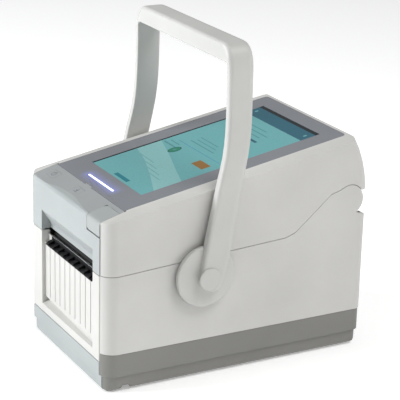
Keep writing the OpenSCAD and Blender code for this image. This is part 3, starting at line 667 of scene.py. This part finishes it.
def raised(name, body, node, outlines, place, mat, low, high):
    """Thin raised symbol made of outlines."""
    shape = Solid()
    for outline in outlines:
        shape.prism(outline, place, low, high)
    shape.finish(name, body, [node], [mat], replace=False)


def ring_outline(cx, cy, r, width, start, end, steps=24):
    a = [math.radians(start + (end - start) * i / steps) for i in range(steps + 1)]
    return [(cx + r * math.cos(t), cy + r * math.sin(t)) for t in a] \
        + [(cx + (r - width) * math.cos(t), cy + (r - width) * math.sin(t)) for t in reversed(a)]


def bar_outline(x0, y0, x1, y1, width):
    d = Vector((x1 - x0, y1 - y0)).normalized() * width / 2
    n = Vector((-d.y, d.x))
    return [(x0 - n.x, y0 - n.y), (x1 - n.x, y1 - n.y), (x1 + n.x, y1 + n.y), (x0 + n.x, y0 + n.y)]


def make_symbols():
    power = [ring_outline(-45.5, 11.3, 2.5, 0.5, 120, 420), bar_outline(-45.5, 11.4, -45.5, 14.2, 0.5)]
    feed = [bar_outline(-5.0, 9.4, -0.2, 9.4, 0.5), bar_outline(-2.6, 10.4, -2.6, 14.2, 0.5),
            bar_outline(-2.6, 10.4, -4.1, 11.9, 0.5), bar_outline(-2.6, 10.4, -1.1, 11.9, 0.5)]
    lid = [bar_outline(49.5, 8.6, 56.5, 8.6, 0.5), bar_outline(49.5, 8.6, 49.5, 10.8, 0.5),
           bar_outline(56.5, 8.6, 56.5, 10.8, 0.5), bar_outline(49.5, 10.8, 56.3, 13.6, 0.5)]
    raised("power_symbol", "power", "power_key", power, strip_point, MARK, 0.05, 0.17)
    raised("feed_symbol", "feed", "feed_key", feed, strip_point, MARK, 0.05, 0.17)
    raised("lid_symbol", "open_key", "open_button", lid, strip_point, MARK, -0.05, 0.16)


# ---------------------------------------------------------------- display

# Screen colours; the lighter teal band is a painted reflection.
UI = {"teal": lit("screen_teal", (0.1, 0.275, 0.285), 0.3),
      "painted_reflection": lit("screen_reflection_paint", (0.165, 0.335, 0.335), 0.3),
      "line": lit("screen_line", (0.11, 0.27, 0.28), 0.3),
      "header": lit("screen_header", (0.018, 0.085, 0.12), 0.25), "black": lit("screen_black", (0.006, 0.012, 0.015), 0.05),
      "mark": lit("screen_mark", (0.055, 0.185, 0.2), 0.25), "orange": lit("screen_orange", (0.2, 0.1, 0.025), 0.25),
      "green": lit("screen_green", (0.015, 0.16, 0.09), 0.25), "blue": lit("screen_blue", (0.05, 0.19, 0.3), 0.25),
      "deep": lit("screen_deep", (0.012, 0.14, 0.17), 0.25), "ring": lit("screen_ring", (0.02, 0.08, 0.09), 0.2)}
SCREEN_SHAPES = [
    (-43, 43, 42.7, 197.2, "teal"), (-43, 43, 193.6, 197.2, "black"), (-43, -41.0, 42.7, 197.2, "black"),
    (-43, 43, 180, 193.6, "header"), (-38, -36, 186, 189, "teal"), (36, 38, 186, 189, "teal"),
    (-9, 13, 45, 48.6, "deep"),
    (18, 34.6, 97.6, 105.8, "orange"), (-38, -20, 103, 104.4, "mark"), (-36, -22, 108, 109, "mark"),
    (-31, 35, 112.6, 113.2, "blue"), (-23, 14, 119, 120, "mark"), (-20, 10, 123.4, 124.2, "mark"),
    (-22, 6, 127.6, 128.4, "mark"),
    (-20, 20, 152.5, 155.0, "header"), (-20, 14, 159.5, 160.5, "mark"), (-20, 18, 164.5, 165.5, "mark"),
    (-20, 8, 169.5, 170.5, "mark")]
# Painted reflection: a lighter diagonal band across the front of the screen, laid on as part of the screen's picture.
SCREEN_PAINTED_REFLECTION = [(-41, 81), (-14.3, 74.5), (14.9, 64.2), (42.9, 53), (42.9, 76.2),
                (21.3, 83), (-14.9, 95), (-41, 102.4)]


def make_display():
    """Display module: lit face laid out in coloured fields, on a dark carrier."""
    xs = sorted({v for s in SCREEN_SHAPES for v in s[:2]})
    ts = sorted({v for s in SCREEN_SHAPES for v in s[2:4]})
    names = list(UI)
    black = names.index("black")
    shape = Solid()
    bm = shape.bm
    grid = [[bm.verts.new(top(x, t, -0.2) * MM) for x in xs] for t in ts]
    under = [[bm.verts.new(top(x, t, -2.3) * MM) for x in xs] for t in ts]
    for r in range(len(ts) - 1):
        for c in range(len(xs) - 1):
            face = bm.faces.new((grid[r][c], grid[r][c + 1], grid[r + 1][c + 1], grid[r + 1][c]))
            mx, mt = (xs[c] + xs[c + 1]) / 2, (ts[r] + ts[r + 1]) / 2
            for x0, x1, t0, t1, kind in SCREEN_SHAPES:
                if x0 <= mx <= x1 and t0 <= mt <= t1:
                    face.material_index = names.index(kind)
            back = bm.faces.new((under[r][c], under[r + 1][c], under[r + 1][c + 1], under[r][c + 1]))
            back.material_index = black
    last_r, last_c = len(ts) - 1, len(xs) - 1
    rim = [(0, c) for c in range(last_c)] + [(r, last_c) for r in range(last_r)] \
        + [(last_r, c) for c in range(last_c, 0, -1)] + [(r, 0) for r in range(last_r, 0, -1)]
    for (r, c), (r2, c2) in zip(rim, rim[1:] + rim[:1]):
        bm.faces.new((grid[r][c], under[r][c], under[r2][c2], grid[r2][c2])).material_index = black
    shape.prism(rounded(-48, 48, 38, 202, 1.5), top, -6.5, -2.3, black)
    shape.finish("display_panel_body", "cover", ["display_panel"], [UI[n] for n in names])
    icons = Solid()
    oval = lambda rx, rt: [(-16 + rx * math.cos(math.tau * i / 40), 101.2 + rt * math.sin(math.tau * i / 40))
                           for i in range(40)]
    # Painted reflection band, in the lighter teal.
    icons.prism(SCREEN_PAINTED_REFLECTION, top, -0.25, -0.185, 3)
    for x0, x1, t in ((-40, -5, 78), (-34, 8, 74), (-24, 20, 70), (-10, 28, 66)):
        icons.prism([(x0, t), (x1, t - 1.2), (x1, t - 0.3), (x0, t + 0.9)], top, -0.25, -0.16, 4)
    icons.prism(oval(4.3, 5.9), top, -0.25, -0.17, 0)
    icons.prism(oval(3.6, 5.1), top, -0.25, -0.14, 1)
    icons.prism(oval(1.2, 1.8), top, -0.25, -0.11, 2)
    icons.finish("display_icon", "cover", ["display_panel"],
                 [UI[n] for n in ("ring", "green", "mark", "painted_reflection", "line")], replace=False)


def make_light_bar():
    """Slim lit strip with round ends on top of its light guide."""
    shape = Solid()
    shape.prism(rounded(-23.45, 21.45, 29.25, 31.75, 0.6), top, -2.4, -0.3, 0)
    shape.prism(rounded(-22.6, 20.6, 29.75, 31.25, 0.72), top, -0.32, -0.12, 1)
    shape.finish("light_bar_body", "cover", ["light_bar"], [GUIDE, LIGHT])


# ---------------------------------------------------------------- fine parts


def paint_display_board(face):
    """Chips on the cover's board are black: they stand out below its lower face."""
    offset = face.calc_center_median() / MM - top(0, 0, 0)
    height = offset.dot(top(0, 0, 1) - top(0, 0, 0))
    return int(height < -9.7)


def paint_main_board(face):
    """Chips and capacitors on the main board are black: they stand out in front of it."""
    return int(face.calc_center_median().y / MM - FRONT < 203.3)


def make_springs():
    """Coil springs above the print head."""
    shape = Solid()
    for x in (-26, 26):
        turns, steps = 6.5, 26
        points = []
        for i in range(int(turns * steps) + 1):
            a = math.tau * i / steps
            flat = 0.12 if i < steps or i > (turns - 1) * steps else 1.0
            rise = min(max(i / (turns * steps), 0), 1)
            points.append(world_point(x + 3.05 * math.cos(a), 19 + 3.05 * math.sin(a), 101.45 + 19.45 * rise))
        shape.tube(points, 0.42, sides=8)
    shape.finish("head_springs_body", "cover", ["head_springs"], [STEEL_BRIGHT])


def make_roll():
    """Wound label roll with fine layer lines on both sides."""
    shape = Solid()
    sides = []
    radius, k = 14.5, 0
    while radius < 47.2:
        depth = 0.0 if k % 2 else 0.22
        sides.append((depth, radius))
        radius += 0.55
        k += 1
    sides.append((0.25, 47.6))
    left = [(-38 + d, r) for d, r in sides] + [(-37.6, 47.95)]
    right = [(38 - d, r) for d, r in reversed(sides)]
    rings = left + [(37.6, 47.95)] + right
    made = []
    for x, r in rings:
        made.append([world_point(x, ROLL_S + r * math.cos(math.tau * i / 96), ROLL_Z + r * math.sin(math.tau * i / 96))
                     for i in range(96)])
    shape.rings(made, loop=True)
    shape.finish("label_roll_body", "roll", ["label_roll"], [PAPER], smooth=25)


def screw_head(shape, centre, out, side, radius, height):
    """Pan head with a cross recess; out and side are unit directions."""
    out, side = Vector(out), Vector(side)
    other = out.cross(side)
    place = lambda u, v, w: Vector(centre) + side * u + other * v + out * w
    steps, w = 32, radius * 0.13
    reach = radius * 0.62
    cross = [(w, reach), (-w, reach), (-w, w), (-reach, w), (-reach, -w), (-w, -w), (-w, -reach),
             (w, -reach), (w, -w), (reach, -w), (reach, w), (w, w)]
    bm = shape.bm
    vert = lambda u, v, h: bm.verts.new(place(u, v, h) * MM)
    cross_top = [vert(u, v, height) for u, v in cross]
    cross_low = [vert(u, v, height * 0.3) for u, v in cross]
    loops = []
    for r, h in ((radius * 0.8, height), (radius * 0.95, height * 0.8), (radius, height * 0.45), (radius, 0)):
        loops.append([vert(u, v, h) for u, v in circle(0, 0, r, steps)])
    rim_edges = [bm.edges.new((loops[0][i], loops[0][(i + 1) % steps])) for i in range(steps)]
    cross_edges = [bm.edges.new((cross_top[i], cross_top[(i + 1) % 12])) for i in range(12)]
    bmesh.ops.triangle_fill(bm, use_beauty=True, use_dissolve=False, edges=rim_edges + cross_edges)
    for a, b in zip(loops, loops[1:]):
        for i in range(steps):
            bm.faces.new((a[i], b[i], b[(i + 1) % steps], a[(i + 1) % steps]))
    for i in range(12):
        bm.faces.new((cross_top[i], cross_top[(i + 1) % 12], cross_low[(i + 1) % 12], cross_low[i]))
    bm.faces.new(cross_low)
    bm.faces.new(list(reversed(loops[-1])))


def make_underside():
    """Battery door, vents and screws under the base tray."""
    down = lambda u, v, w: Vector((u, FRONT + v, 1.0 - w))
    door = Solid()
    door.prism(rounded(-46, 46, 60, 168, 4), down, -0.3, 0.45)
    for i in range(5):
        door.prism(rounded(-12 + i * 5, -10 + i * 5, 66, 76, 0.9), down, 0.4, 0.75)
    door.finish("battery_door", "casing", ["base_tray"], [GREY], width=0.18, replace=False)
    screws = Solid()
    for x in (-50, 50):
        for s in (48, 176):
            screw_head(screws, (x, FRONT + s, 1.05), (0, 0, -1), (1, 0, 0), 2.6, 0.75)
    screws.finish("base_screws", "casing", ["base_tray"], [STEEL], smooth=30, replace=False)
    feet = Solid()
    for m in (-1, 1):
        x0, x1 = sorted((m * 50, m * 63.8))
        feet.prism(rounded(x0, x1, 6.9, 14.2, 1.5), down, -0.2, 0.8)
    feet.finish("front_pads", "casing", ["base_tray"], [GREY], width=0.25, replace=False)
    vents = Solid()
    for i in range(9):
        vents.prism(rounded(-34 + i * 8, -30 + i * 8, 186, 204, 1.9), down, -0.25, 0.22)
    vents.finish("base_ribs", "casing", ["base_tray"], [GREY], width=0.12, replace=False)


def make_ports():
    """Tongues, contacts and pins inside the rear sockets."""
    place = lambda u, v, w: world_point(u, w, v)
    shape = Solid()
    shape.prism(rounded(-18.2, -11.8, 49.1, 50.6, 0.3), place, 209.9, 220.6, 0)
    for i in range(4):
        x = -17.2 + i * 1.45
        shape.prism(rounded(x, x + 0.7, 50.55, 50.8, 0.05), place, 210.5, 219.5, 1)
    for i in range(8):
        x = 10.2 + i * 1.28
        shape.prism(rounded(x, x + 0.6, 53.0, 54.4, 0.1), place, 209.9, 219.8, 1)
    shape.prism(rounded(9, 21, 44.9, 46.2, 0.2), place, 209.9, 214, 0)
    shape.finish("socket_contacts", "casing", ["usb_port", "lan_port"], [BLACK, BRASS], replace=False)
    pin = Solid()
    pin.lathe([(211.5, 0.05), (211.5, 1.0), (219.6, 1.0), (219.95, 0.7), (220, 0.05)], Vector((-41, FRONT, 50)), "y", 0, 24)
    pin.finish("power_pin", "casing", ["dc_jack"], [BRASS], replace=False)
    screws = Solid()
    for x in (-30.0, 0.0):
        screw_head(screws, (x - 0.5, FRONT + 222.55, 50), (0, 1, 0), (1, 0, 0), 1.7, 0.6)
    screws.finish("panel_screws", "casing", ["rear_panel"], [STEEL], smooth=30, replace=False)


# ---------------------------------------------------------------- assembly

add_camera()
add_studio()
make_handle()
make_button()
make_display()
make_light_bar()
make_springs()
make_roll()
make_symbols()
make_underside()
make_ports()
PREPARE = {"cover_front_panel": curve_panel_top, "control_strip": curve_strip_front, "lower_front_panel": taper_pocket,
           "base_front_panel": widen, "base_tray": open_notches,
           "lower_casing": keep_opening, "cover_shell": keep_opening, "base_frame": keep_opening}
PAINT = {"display_board": paint_display_board, "main_board": paint_main_board}
for node, (mat, width) in MATERIAL_OF.items():
    refine(node, mat, width, prepare=PREPARE.get(node), mats=[mat, CHIP] if node in PAINT else None,
           paint=PAINT.get(node))
